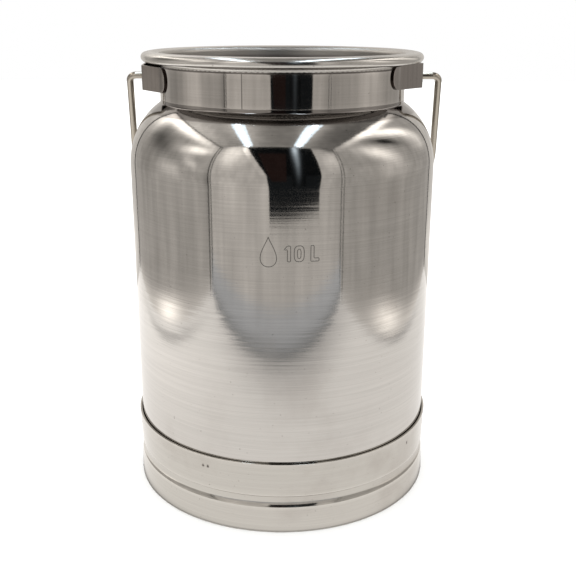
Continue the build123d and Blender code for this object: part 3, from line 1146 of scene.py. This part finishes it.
def bail_tube(bail):
    """Wire round its centreline: centre plus radius times (normal cos + level sin).

    The cut ends narrow over a short chamfer and close in a pole. Returns the grid, each
    column's turn round the wire and each row's share of the full radius.
    """
    chamfer, end_share, sides = 0.0005, 0.75, 40
    path = bail_path(bail)
    along = np.gradient(path, axis=0)
    along /= np.linalg.norm(along, axis=1)[:, None]
    start, end = path[0], path[-1]
    path = np.vstack([start, start, start + along[0] * chamfer, path[1:-1],
                      end - along[-1] * chamfer, end, end])
    along = np.vstack([along[:1], along[:1], along, along[-1:], along[-1:]])
    full = np.ones(len(path))
    full[[0, -1]] = 0.0
    full[[1, -2]] = end_share

    sideways = np.array([1.0, 0.0, 0.0])
    upwards = np.array([0.0, -math.sin(bail.rest_angle), math.cos(bail.rest_angle)])
    level = np.cross(sideways, upwards)
    origin = np.array([bail.side_shift, 0.0, bail.pivot_height])
    plane = np.stack([sideways, upwards])
    normal = np.cross(level, along @ plane)
    around = np.arange(sides) / sides * FULL_TURN
    ring = (np.cos(around)[None, :, None] * normal[:, None]
            + np.sin(around)[None, :, None] * level)
    centre = origin + path @ plane
    return centre[:, None] + bail.wire_radius * full[:, None, None] * ring, around, full


class MILKCAN_OT_build_bail(Operator):
    """Build the wire bail"""

    bl_idname = "milkcan.build_bail"
    bl_label = "Build Bail"

    def execute(self, context):
        settings = context.scene.milk_can
        grid, around, full = bail_tube(settings.bail)
        shape = grid.shape[:2]
        run = np.broadcast_to(np.abs(around - math.pi) * settings.bail.wire_radius, shape)
        edge = np.broadcast_to((full < 1).astype(float)[:, None], shape)
        wire = grid_solid("bail_wire", grid, poles=True, run=run, edge=edge)
        wire_steel = steel("Wire Steel", settings.steel.wire, 0.15, anisotropic=0.4,
                           across=False, fine_lines=4000.0, coarse_lines=1500.0, reach=30.0,
                           line_depth=4e-6, wave_depth=1.2e-5, wave_scale=60.0)
        finished(wire, wire_steel, "bail", "wire_steel", "bail_handle")
        return {"FINISHED"}


# ---------------------------------------------------------------- mark


def closed_polygon(corners, soft=0.0004):
    """Even points round a polygon whose corners are cut by short chamfers."""
    corners = np.array(corners, float)
    ahead = np.roll(corners, -1, axis=0) - corners
    behind = np.roll(corners, 1, axis=0) - corners
    ahead /= np.linalg.norm(ahead, axis=1)[:, None]
    behind /= np.linalg.norm(behind, axis=1)[:, None]
    softened = np.stack([corners + soft * behind, corners + soft * ahead], axis=1)
    return resampled(softened.reshape(-1, 2), MARK_STEP)


def resampled(points, step):
    """Even points, a step apart, round a closed outline."""
    ring = np.vstack([points, points[:1]])
    walked = run_along(ring)
    places = np.linspace(0, walked[-1], max(8, round(walked[-1] / step)), endpoint=False)
    return np.column_stack([np.interp(places, walked, ring[:, k]) for k in (0, 1)])


def oval(centre, half_width, half_height):
    """Squarish oval: a superellipse of power 3."""
    turn = np.linspace(0, FULL_TURN, 200, endpoint=False)
    c, s = np.cos(turn), np.sin(turn)
    flat = np.column_stack([half_width * np.sign(c) * np.abs(c) ** (2 / 3),
                            half_height * np.sign(s) * np.abs(s) ** (2 / 3)])
    return resampled(flat + centre, MARK_STEP)


def drop(centre, half_width, height):
    """Water drop: a circle below, drawn up to a point by (1 - cos) to a power."""
    turn = np.linspace(0, FULL_TURN, 240, endpoint=False)
    up = height / 2 * np.cos(turn)
    wide = half_width * np.sin(turn) * np.sin(turn / 2) ** 1.6 * 1.18
    return resampled(np.column_stack([wide, up]) + centre, MARK_STEP)


def mark_outlines(height):
    """Outlined figures 1, 0 and L beside a drop, centred on the origin."""
    stroke, half, wide, narrow = height * 0.2, height / 2, height * 0.52, height * 0.31
    one = closed_polygon([(-stroke / 2, -half), (stroke / 2, -half), (stroke / 2, half),
                          (-stroke / 2, half), (-stroke * 1.6, half - stroke * 1.2),
                          (-stroke / 2, half - stroke * 1.2)])
    ell = closed_polygon([(0, -half), (wide, -half), (wide, -half + stroke),
                          (stroke, -half + stroke), (stroke, half), (0, half)])
    drop_at = (-height * 1.62, height * 0.12)
    one_at, zero_at, ell_at = (-height * 0.35, 0), (height * 0.28, 0), (height, 0)
    return [
        drop(drop_at, height * 0.62, height * 1.9),
        one + one_at,
        oval(zero_at, narrow, half),
        oval(zero_at, narrow - stroke, half - stroke),
        ell + ell_at,
    ]


def etched_line(name, outline, mark, wall_radius):
    """Rectangular section carried round a flat outline and wrapped on the wall.

    The distance across becomes a turn round the axis, distance / wall radius.
    """
    along = np.roll(outline, -1, axis=0) - np.roll(outline, 1, axis=0)
    along /= np.linalg.norm(along, axis=1)[:, None]
    side = np.column_stack([-along[:, 1], along[:, 0]])
    half = mark.line_width / 2 * np.array([-1.0, 1.0, 1.0, -1.0])
    lift = np.array([mark.proud, mark.proud, -mark.rooted, -mark.rooted])
    flat = outline[:, None] + half[None, :, None] * side[:, None]
    turn = (flat[..., 0] + mark.centre_x) / wall_radius - QUARTER_TURN
    radius = wall_radius + lift[None]
    grid = np.stack([radius * np.cos(turn), radius * np.sin(turn),
                     flat[..., 1] + mark.centre_height], axis=-1)
    return grid_solid(name, grid, run=flat[..., 1], edge=np.zeros(grid.shape[:2]))


class MILKCAN_OT_build_mark(Operator):
    """Build the etched capacity mark on the wall"""

    bl_idname = "milkcan.build_mark"
    bl_label = "Build Mark"

    def execute(self, context):
        settings = context.scene.milk_can
        mark, wall_radius = settings.mark, settings.shell.wall_radius
        material = steel("Etched Steel", settings.steel.mark, 0.42, smudge_tone=0.1,
                         line_depth=2e-6)
        names = ("drop", "one", "zero_outside", "zero_inside", "litre")
        for name, outline in zip(names, mark_outlines(mark.letter_height)):
            line = etched_line("mark_" + name, outline, mark, wall_radius)
            finished(line, material, "can", "body_steel")
        return {"FINISHED"}


# ---------------------------------------------------------------- stage


WARM = (1.05, 1.0, 0.94)    # tint of the tent's fabric
COOL = (0.86, 1.0, 1.12)    # tint of the lamps and of the opening


def hidden_from_camera(piece):
    """Seen only in the steel's reflections."""
    piece.visible_camera = False
    piece.visible_diffuse = False
    piece.visible_transmission = False
    piece.visible_volume_scatter = False
    piece.visible_shadow = False


def fabric_material():
    """Glowing tent fabric: its brightness is kept on the mesh, with faint cloudy folds."""
    material = bpy.data.materials.new("Tent Fabric")
    material.use_nodes = True
    tree = material.node_tree
    tree.nodes.remove(tree.nodes["Principled BSDF"])
    shader = tree.nodes.new("ShaderNodeEmission")
    tree.links.new(shader.outputs[0], tree.nodes["Material Output"].inputs["Surface"])
    held = tree.nodes.new("ShaderNodeAttribute")
    held.attribute_name = "glow"
    place = tree.nodes.new("ShaderNodeTexCoord").outputs["Object"]
    folded = tree.nodes.new("ShaderNodeVectorMath")
    folded.operation = "MULTIPLY"
    folded.inputs[1].default_value = (18.0, 18.0, 8.0)
    tree.links.new(place, folded.inputs[0])
    folds = add_noise(tree, folded.outputs["Vector"], 1.0, 3.0, roughness=0.6)
    height = tree.nodes.new("ShaderNodeSeparateXYZ")
    tree.links.new(place, height.inputs[0])
    depth = add_math(tree, "MULTIPLY", add_range(tree, height.outputs["Z"], 0.01, 0.06), 0.7)
    swing = add_math(tree, "MULTIPLY", add_math(tree, "SUBTRACT", folds, 0.5), depth)
    tree.links.new(add_math(tree, "ADD", swing, 1.0), shader.inputs["Strength"])
    tree.links.new(held.outputs["Color"], shader.inputs["Color"])
    return material


def lit(base, spots, across, upward):
    """Brightness of a card: a base plus soft oval spots exp(-(u/a)^2 - (v/b)^2).

    Each spot is its middle across and up, its half length and half height, its slant in
    degrees and its strength, which is negative where it darkens.
    """
    total = np.full(across.shape, float(base))
    for s, t, half_length, half_height, slant, strength in spots:
        c, d = math.cos(math.radians(slant)), math.sin(math.radians(slant))
        u = (across - s) * c + (upward - t) * d
        v = (upward - t) * c - (across - s) * d
        total += strength * np.exp(-(u / half_length) ** 2 - (v / half_height) ** 2)
    return np.maximum(total, 0.0)


def open_quads(rows, columns):
    """Faces of an open grid of points."""
    number = np.arange(rows * columns).reshape(rows, columns)
    return np.stack([number[:-1, :-1], number[:-1, 1:], number[1:, 1:], number[1:, :-1]],
                    axis=-1).reshape(-1, 4)


def card(name, corners, base, spots=(), axes=(0, 2), tint=WARM):
    """Flat card between four corners, bilinear over a grid, seen only in reflections.

    The spots are placed by the two world axes given.
    """
    low, high = np.array(corners[:2], float), np.array([corners[3], corners[2]], float)
    count = OPEN_CARD_ROWS if spots else 2
    s = np.linspace(0, 1, count)[None, :, None]
    t = np.linspace(0, 1, count)[:, None, None]
    bottom = low[0] * (1 - s) + low[1] * s
    top = high[0] * (1 - s) + high[1] * s
    grid = bottom * (1 - t) + top * t
    brightness = lit(base, spots, grid[..., axes[0]], grid[..., axes[1]])
    glowing(name, grid, open_quads(count, count), brightness, tint)


def glowing(name, grid, quads, brightness, tint):
    """Stage mesh of tent fabric whose colour is its brightness times a tint."""
    mesh = bpy.data.meshes.new(name)
    mesh.from_pydata(grid.reshape(-1, 3).tolist(), [], quads.tolist())
    colour = np.ones((brightness.size, 4))
    colour[:, :3] = brightness.reshape(-1, 1) * np.array(tint)
    held = mesh.attributes.new("glow", "FLOAT_COLOR", "POINT")
    held.data.foreach_set("color", colour.ravel())
    piece = bpy.data.objects.new(name, mesh)
    bpy.context.scene.collection.objects.link(piece)
    mesh.materials.append(bpy.data.materials.get("Tent Fabric") or fabric_material())
    hidden_from_camera(piece)


def upright(start, end, low, high):
    """Corners of an upright card over a line on the floor."""
    (x0, y0), (x1, y1) = start, end
    return [(x0, y0, low), (x1, y1, low), (x1, y1, high), (x0, y0, high)]


def floor_glow(front):
    """Glowing ring just above the floor that gives the reflections their floor, a painted
    stand-in for the lit floor.

    Its brightness falls towards the can's foot as 1 - exp(-gap / reach), a painted contact
    shadow, and the spots paint shadows that darken the floor by the front panel and the side
    walls.
    """
    inner, outer, height = FOOT_BOX[1].x + 0.0006, 0.72, 0.0004
    radii = inner + (outer - inner) * np.linspace(0, 1, 120) ** 2
    turns = np.arange(180) / 180 * FULL_TURN
    x = radii[:, None] * np.cos(turns)
    y = radii[:, None] * np.sin(turns)
    # Painted shadows by the front panel and the side walls, with a few brighter patches.
    shade = lit(1.04, [
        (0.05, front - 0.02, 0.36, 0.10, 0, -0.52), (-0.40, 0.1, 0.2, 0.4, 0, 0.25),
        (-0.435, -0.04, 0.014, 0.22, 0, -0.8), (0.435, -0.08, 0.014, 0.22, 0, -0.75),
        (0.0, 0.45, 0.5, 0.15, 0, 0.15), (0.1, -0.2, 0.2, 0.1, 0, -0.05)], x, y)
    # Painted contact shadow round the can's foot.
    shade = shade * (1 - 0.9 * np.exp(-(radii[:, None] - inner) / 0.0016))
    here, ahead = wrapped(len(turns))
    rows = np.arange(len(radii) - 1)[:, None] * len(turns)
    up = rows + len(turns)
    quads = np.stack([rows + here, rows + ahead, up + ahead, up + here], axis=-1)
    grid = np.stack([x, y, np.full_like(x, height)], axis=-1)
    glowing("tent_floor", grid, quads.reshape(-1, 4), shade, (1.03, 1.0, 0.965))


def tent_corners(stage):
    """Corners of the tent on the floor: left and right at the front, then at the back."""
    side, front, back = stage.side, -stage.front, stage.back
    return (-side - 0.014, front + 0.06), (side - 0.068, front), (-side, back), (side, back)


def on_panel(stage, x, height, inset):
    """Point at this x and height, just inside the front panel."""
    left, right = tent_corners(stage)[:2]
    along = (x - left[0]) / (right[0] - left[0])
    return (x, left[1] + along * (right[1] - left[1]) + inset, height)


def panel_card(stage, name, low, high, inset, base, spots=(), tint=WARM):
    """Card on the front panel between a low and a high edge: left x, right x, height."""
    corners = [on_panel(stage, low[0], low[2], inset), on_panel(stage, low[1], low[2], inset),
               on_panel(stage, high[1], high[2], inset), on_panel(stage, high[0], high[2], inset)]
    card(name, corners, base, spots, tint=tint)


def build_walls(stage):
    """Side walls, back wall, front panel and ceiling, each with its lights and shades."""
    top = stage.ceiling
    left_front, right_front, left_back, right_back = tent_corners(stage)
    card("tent_left", upright(left_front, left_back, 0, top), 0.50, [
        (0.12, 0.67, 0.36, 0.055, 0, 2.4), (0.36, 0.60, 0.12, 0.12, 0, 1.5),
        (-0.24, 0.53, 0.12, 0.045, -25, 1.6), (0.12, 0.45, 0.20, 0.10, 20, -0.36),
        (-0.03, 0.014, 0.10, 0.014, 0, 1.4),
        (0.18, 0.24, 0.10, 0.10, 0, -0.12), (-0.09, 0.27, 0.09, 0.06, 20, 0.30),
        (-0.24, 0.37, 0.07, 0.04, 40, 0.45), (-0.42, 0.20, 0.05, 0.12, 0, -0.2),
        (0.05, 0.0, 0.40, 0.02, 0, 0.5)], axes=(1, 2))
    card("tent_right", upright(right_front, right_back, 0, top), 0.46, [
        (0.10, 0.68, 0.34, 0.04, 0, 2.0), (-0.15, 0.43, 0.15, 0.045, -45, 1.2),
        (0.06, 0.56, 0.22, 0.045, -36, 1.9), (-0.05, 0.50, 0.12, 0.03, -40, -0.5),
        (-0.10, 0.022, 0.10, 0.014, 0, 1.2),
        (-0.12, 0.27, 0.09, 0.05, -20, 0.25), (0.24, 0.36, 0.10, 0.05, -20, 0.4),
        (0.05, 0.0, 0.40, 0.02, 0, 0.5)], axes=(1, 2))
    card("tent_back", upright(left_back, right_back, 0, top), 0.65, [
        (-0.30, 0.60, 0.25, 0.12, 0, 0.6), (0.0, 0.05, 0.6, 0.05, 0, 0.3)])
    card("tent_front", upright(left_front, right_front, 0, top), 0.60, [
        (-0.33, 0.58, 0.10, 0.16, 0, 0.9), (-0.30, 0.20, 0.12, 0.10, 0, 0.12),
        (0.38, 0.20, 0.07, 0.14, 0, -0.16), (0.33, 0.50, 0.06, 0.09, 0, 0.35),
        (0.0, 0.72, 0.30, 0.05, 0, -0.3), (0.36, 0.70, 0.12, 0.06, 0, -0.4),
        (0.0, 0.0, 1.0, 0.014, 0, -0.2)])
    reach, front, back = stage.side + 0.02, -stage.front, stage.back
    corners = [(-reach, front, top), (reach, front, top), (reach, back, top),
               (-reach, back, top)]
    card("tent_ceiling", corners, 0.27, [
        (-0.44, 0.05, 0.12, 0.40, 0, 0.65), (-0.20, -0.15, 0.09, 0.30, 0, 0.5),
        (0.15, -0.15, 0.06, 0.30, 0, 0.4), (0.38, -0.20, 0.14, 0.30, 0, -0.12)],
        axes=(0, 1))


def build_lamps(stage):
    """Two lamp strips under the ceiling, each in its wider and fainter halo."""
    near_y, far_y = 0.01 - stage.front, 0.35
    for name, near_x, far_x in (("left", -0.24, -0.14), ("right", 0.11, 0.185)):
        for label, half, below, brightness in (("lamp", 0.012, 0.006, 7.0),
                                               ("halo", 0.034, 0.003, 1.9)):
            z = stage.ceiling - below
            corners = [(near_x - half, near_y, z), (near_x + half, near_y, z),
                       (far_x + half, far_y, z), (far_x - half, far_y, z)]
            card(f"{label}_{name}", corners, brightness, tint=COOL)


def build_seams(stage):
    """Dark seams of the tent: double at the front corners, single at the back and above."""
    top, dark, inset, gap = stage.ceiling, 0.03, 0.98, 0.0215
    left_front, right_front, left_back, right_back = tent_corners(stage)
    for name, (x, y), half in (("left", left_front, 0.0145), ("right", right_front, 0.0135)):
        aside = math.atan2(x, -y)
        step = np.array([math.cos(aside), math.sin(aside)])
        for label, k in (("near", -1), ("far", 1)):
            middle = np.array([x, y]) * inset + step * gap * k
            card(f"seam_{name}_{label}",
                 upright(middle - step * half, middle + step * half, 0, top), dark)
    for name, (x, y) in (("left_back", left_back), ("right_back", right_back)):
        middle = np.array([x, y]) * inset
        step = np.array([y, -x]) / math.hypot(x, y) * 0.010
        card(f"seam_{name}", upright(middle - step, middle + step, 0, top), dark)
    near_y = 0.05 - stage.front
    for name, x in (("left", 0.012 - stage.side), ("right", stage.side - 0.012)):
        card(f"ceiling_seam_{name}",
             upright((x, near_y), (x, stage.back), top - 0.022, top - 0.006), 0.10)


def build_front_sweep(stage):
    """Foot of the front panel, swept in over the floor between the corners.

    It comes in by a bow 1 - (2s - 1)^4 along the panel, less with the square of the rise,
    and is darkest at the floor, painted shade in the corner between panel and floor.
    """
    rows, columns = 14, 60
    s = np.linspace(0, 1, columns)
    rise = np.linspace(0, 1, rows)[:, None]
    bow = 0.004 + 0.030 * (1 - (2 * s - 1) ** 4)
    left, right = (np.array([x, y, 0.0]) for x, y in tent_corners(stage)[:2])
    base = left * (1 - s[:, None]) + right * s[:, None]
    sweep = np.repeat(base[None], rows, axis=0)
    sweep[..., 1] += bow * (1 - rise) ** 2
    sweep[..., 2] = 0.001 + 0.045 * rise
    # Painted shade, darkest where the panel meets the floor.
    shade = np.broadcast_to(0.55 - 0.40 * np.exp(-(rise / 0.2) ** 2), (rows, columns))
    glowing("front_sweep", sweep, open_quads(rows, columns), shade, (0.98, 1.0, 1.03))


def build_opening(stage):
    """Dark opening in the front panel, with a door and a sheen in it and a bright flap."""
    sill, bend_z, head = 0.146, 0.30, 0.67
    panel_card(stage, "opening", (-0.062, 0.200, sill), (-0.076, 0.215, bend_z), 0.012, 0.012,
               tint=COOL)
    panel_card(stage, "opening_above", (-0.076, 0.215, bend_z), (-0.235, 0.19, head), 0.012,
               0.005, tint=COOL)
    panel_card(stage, "opening_door", (-0.05, 0.02, 0.25), (-0.14, 0.02, 0.55), 0.014, 0.012,
               tint=(1.6, 0.9, 0.8))
    panel_card(stage, "opening_sheen", (0.05, 0.12, 0.20), (0.03, 0.12, 0.66), 0.016, 0.006,
               [(0.075, 0.66, 0.018, 0.16, 0, 1.1), (0.08, 0.42, 0.012, 0.12, 0, 0.18)],
               tint=COOL)
    panel_card(stage, "opening_flap", (-0.104, -0.076, bend_z), (-0.27, -0.228, 0.66), 0.016,
               0.7, [(-0.24, 0.62, 0.05, 0.18, 0, 1.3)])


def build_tent(stage):
    """Light tent round the can, seen only in reflections."""
    build_walls(stage)
    floor_glow(tent_corners(stage)[0][1])
    build_lamps(stage)
    build_seams(stage)
    build_front_sweep(stage)
    build_opening(stage)


def floor_material():
    """Pale matt floor with a trace of mottling."""
    material = bpy.data.materials.new("Pale Floor")
    material.use_nodes = True
    tree = material.node_tree
    shader = tree.nodes["Principled BSDF"]
    shader.inputs["Roughness"].default_value = 0.7
    shader.inputs["Specular IOR Level"].default_value = 0.2
    place = tree.nodes.new("ShaderNodeTexCoord").outputs["Object"]
    shade = add_mix(tree, add_noise(tree, place, 3.0, 2.0), opaque((0.86, 0.86, 0.855)),
                    opaque((0.89, 0.89, 0.885)))
    tree.links.new(shade, shader.inputs["Base Color"])
    return material


def world_light(stage):
    """Even white light, with its own brightness where the camera sees it directly."""
    world = bpy.data.worlds.new("Studio")
    bpy.context.scene.world = world
    world.use_nodes = True
    tree = world.node_tree
    background = tree.nodes["Background"]
    background.inputs["Color"].default_value = (1.0, 1.0, 1.0, 1.0)
    direct = tree.nodes.new("ShaderNodeLightPath").outputs["Is Camera Ray"]
    step = add_math(tree, "MULTIPLY", direct, stage.backdrop - stage.soft_light)
    tree.links.new(add_math(tree, "ADD", step, stage.soft_light),
                   background.inputs["Strength"])


def add_camera(stage):
    """Camera in front of the can, looking slightly down on it."""
    data = bpy.data.cameras.new("Camera")
    data.lens = stage.lens
    data.sensor_width = 36.0
    camera = bpy.data.objects.new("Camera", data)
    bpy.context.scene.collection.objects.link(camera)
    yaw, pitch, roll = stage.camera_yaw, stage.camera_pitch, stage.camera_roll
    forward = Vector((math.sin(yaw) * math.cos(pitch), math.cos(yaw) * math.cos(pitch),
                      -math.sin(pitch)))
    level = Vector((math.cos(yaw), -math.sin(yaw), 0.0))
    above = level.cross(forward)
    right = level * math.cos(roll) + above * math.sin(roll)
    up = above * math.cos(roll) - level * math.sin(roll)
    turn = Matrix((right, up, -forward)).transposed().to_4x4()
    place = Matrix.Translation((0.0, -stage.camera_distance, stage.camera_height))
    camera.matrix_world = place @ turn
    bpy.context.scene.camera = camera


class MILKCAN_OT_build_stage(Operator):
    """Build the pale floor, the light tent, the studio light and the camera"""

    bl_idname = "milkcan.build_stage"
    bl_label = "Build Stage"

    def execute(self, context):
        stage = context.scene.milk_can.stage
        half = stage.floor_size / 2
        mesh = bpy.data.meshes.new("floor")
        mesh.from_pydata([(-half, -half, 0), (half, -half, 0), (half, half, 0),
                          (-half, half, 0)], [], [(0, 1, 2, 3)])
        floor = bpy.data.objects.new("floor", mesh)
        context.scene.collection.objects.link(floor)
        mesh.materials.append(floor_material())
        build_tent(stage)
        world_light(stage)
        add_camera(stage)
        context.scene.view_settings.view_transform = "Standard"
        return {"FINISHED"}


# ---------------------------------------------------------------- add-on


PIECE_OPERATORS = (
    MILKCAN_OT_build_body,
    MILKCAN_OT_build_collar,
    MILKCAN_OT_build_rim,
    MILKCAN_OT_build_foot,
    MILKCAN_OT_build_ears,
    MILKCAN_OT_build_bail,
    MILKCAN_OT_build_mark,
    MILKCAN_OT_build_stage,
)


class MILKCAN_PT_sidebar(Panel):
    """Milk can pieces and their sizes"""

    bl_idname = "MILKCAN_PT_sidebar"
    bl_label = "Milk Can"
    bl_space_type = "VIEW_3D"
    bl_region_type = "UI"
    bl_category = "Milk Can"

    def draw(self, context):
        layout = self.layout
        for operator in PIECE_OPERATORS:
            layout.operator(operator.bl_idname)
        settings = context.scene.milk_can
        for part in ("shell", "neck", "foot", "ears", "bail", "mark", "steel", "stage"):
            group = getattr(settings, part)
            box = layout.box()
            box.label(text=part.title())
            for key in group.bl_rna.properties.keys():
                if key not in ("rna_type", "name"):
                    box.prop(group, key)


CLASSES = (ShellSizes, NeckSizes, FootSizes, EarSizes, BailSizes, MarkSizes, SteelLooks,
           StageSettings, MilkCanSettings, *PIECE_OPERATORS, MILKCAN_PT_sidebar)


def register():
    for cls in CLASSES:
        bpy.utils.register_class(cls)
    bpy.types.Scene.milk_can = PointerProperty(type=MilkCanSettings)


def unregister():
    del bpy.types.Scene.milk_can
    for cls in reversed(CLASSES):
        bpy.utils.unregister_class(cls)


def main():
    """Build everything in order."""
    register()
    for operator in PIECE_OPERATORS:
        group, action = operator.bl_idname.split(".")
        getattr(getattr(bpy.ops, group), action)()


if __name__ == "__main__":
    main()
